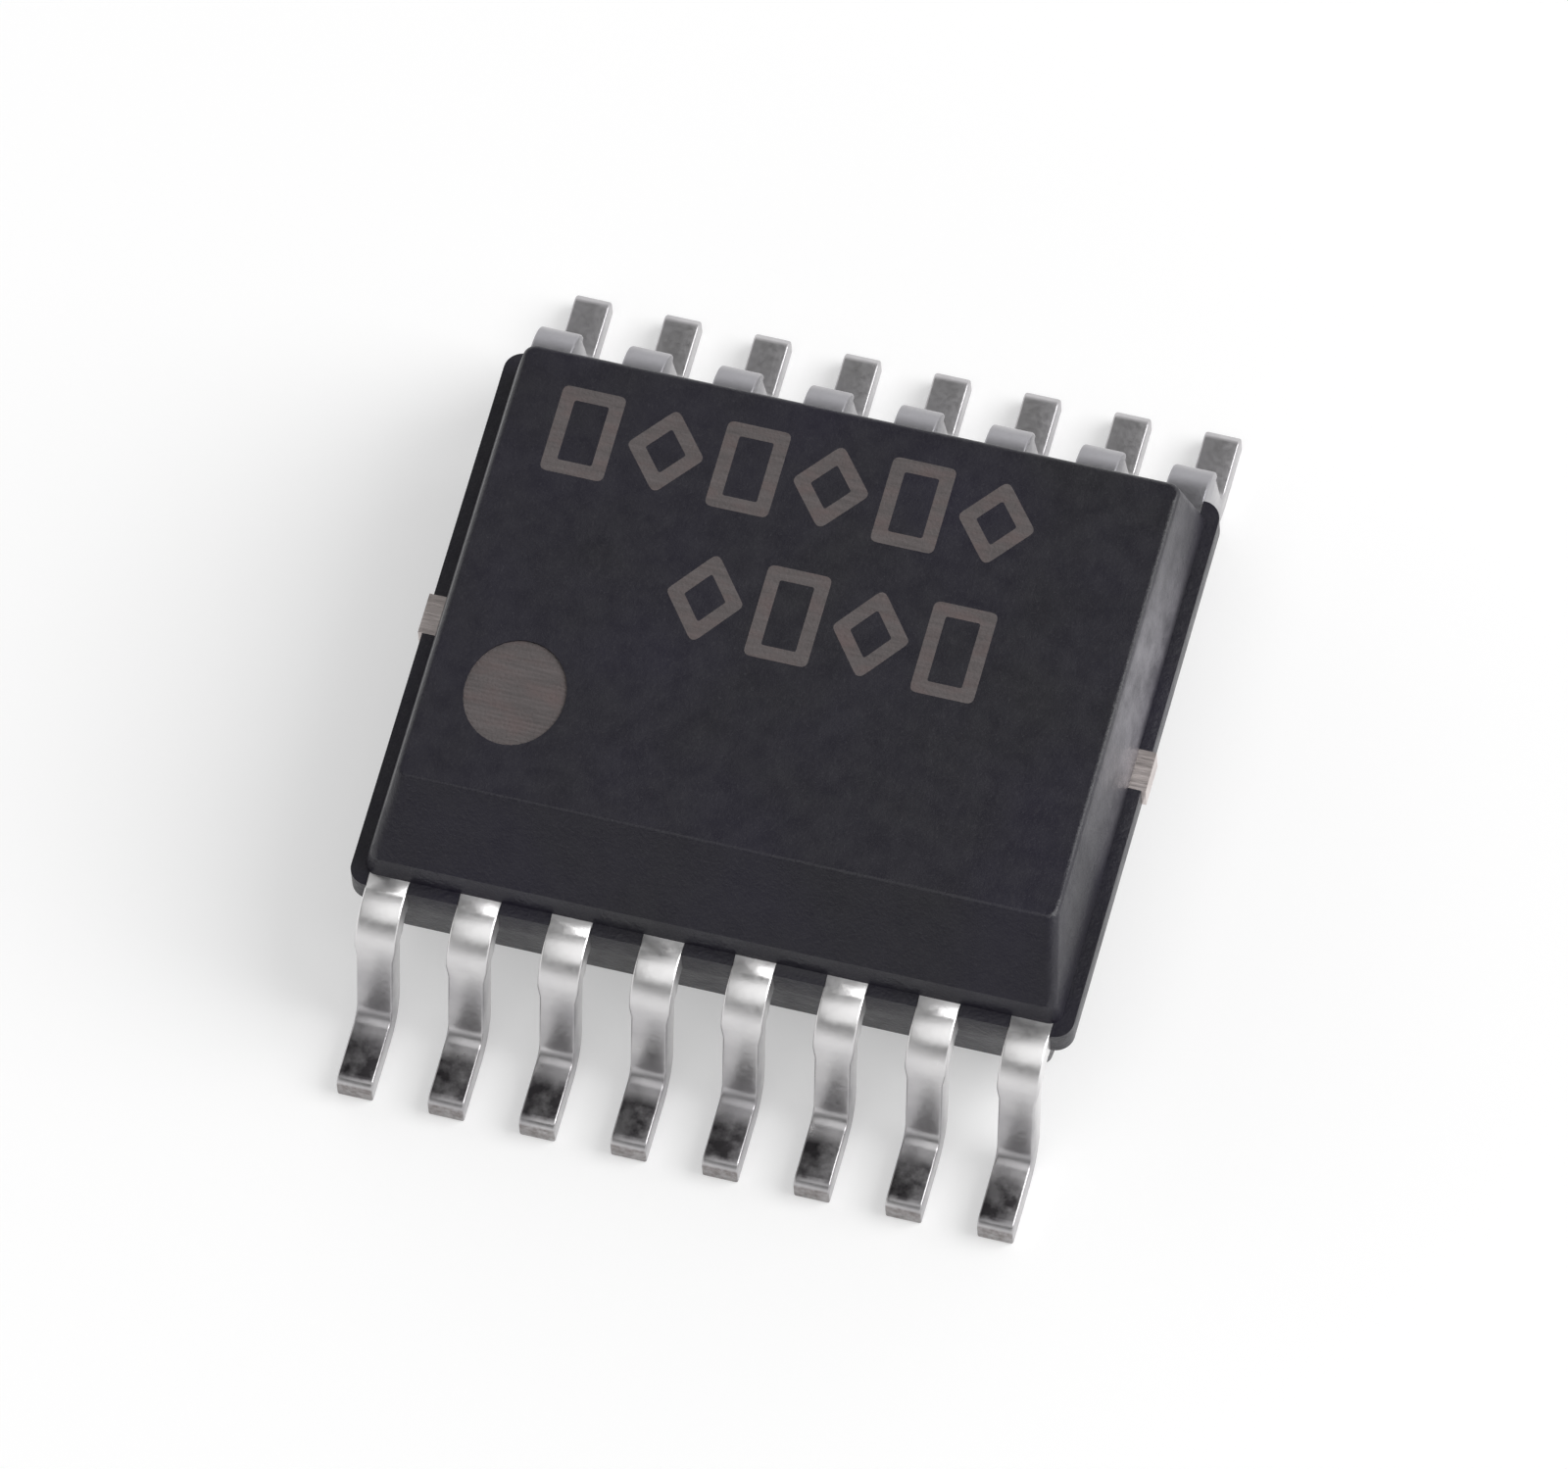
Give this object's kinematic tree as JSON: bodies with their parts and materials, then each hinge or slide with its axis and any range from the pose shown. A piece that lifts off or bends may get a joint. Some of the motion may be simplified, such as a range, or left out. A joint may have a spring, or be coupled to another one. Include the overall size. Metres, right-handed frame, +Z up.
{
  "type": "multiplexer chip",
  "caption": "Multiplexer chip in a shrink small-outline package: drafted black resin body, gull-wing leads, and a lead frame, die and bond wires inside.",
  "frame": {"origin": "on the seating plane of the feet, under the middle of the body", "axes": "+X along the rows of leads from lead 1 to lead 8, +Y towards the row of leads 9 to 16, +Z up out of the top face"},
  "size_m": [0.005, 0.0062, 0.0018],
  "materials": {
    "moulding_resin": "fine matt moulded epoxy, near black",
    "plated_lead": "satin matt tin plating on copper alloy",
    "paddle_copper": "bare copper alloy, sheared at the tie-bar ends",
    "die_adhesive": "cured silver-filled adhesive",
    "silicon": "sawn silicon, polished face",
    "bond_gold": "drawn gold wire"
  },
  "bodies": {
    "root": {"mould_body": "moulding_resin", "lead_01": "plated_lead", "lead_02": "plated_lead", "lead_03": "plated_lead", "lead_04": "plated_lead", "lead_05": "plated_lead", "lead_06": "plated_lead", "lead_07": "plated_lead", "lead_08": "plated_lead", "lead_09": "plated_lead", "lead_10": "plated_lead", "lead_11": "plated_lead", "lead_12": "plated_lead", "lead_13": "plated_lead", "lead_14": "plated_lead", "lead_15": "plated_lead", "lead_16": "plated_lead", "die_paddle": "paddle_copper", "die_attach": "die_adhesive", "silicon_die": "silicon", "bond_wire_01": "bond_gold", "bond_wire_02": "bond_gold", "bond_wire_03": "bond_gold", "bond_wire_04": "bond_gold", "bond_wire_05": "bond_gold", "bond_wire_06": "bond_gold", "bond_wire_07": "bond_gold", "bond_wire_08": "bond_gold", "bond_wire_09": "bond_gold", "bond_wire_10": "bond_gold", "bond_wire_11": "bond_gold", "bond_wire_12": "bond_gold", "bond_wire_13": "bond_gold", "bond_wire_14": "bond_gold", "bond_wire_15": "bond_gold", "bond_wire_16": "bond_gold"}
  },
  "joints": []
}
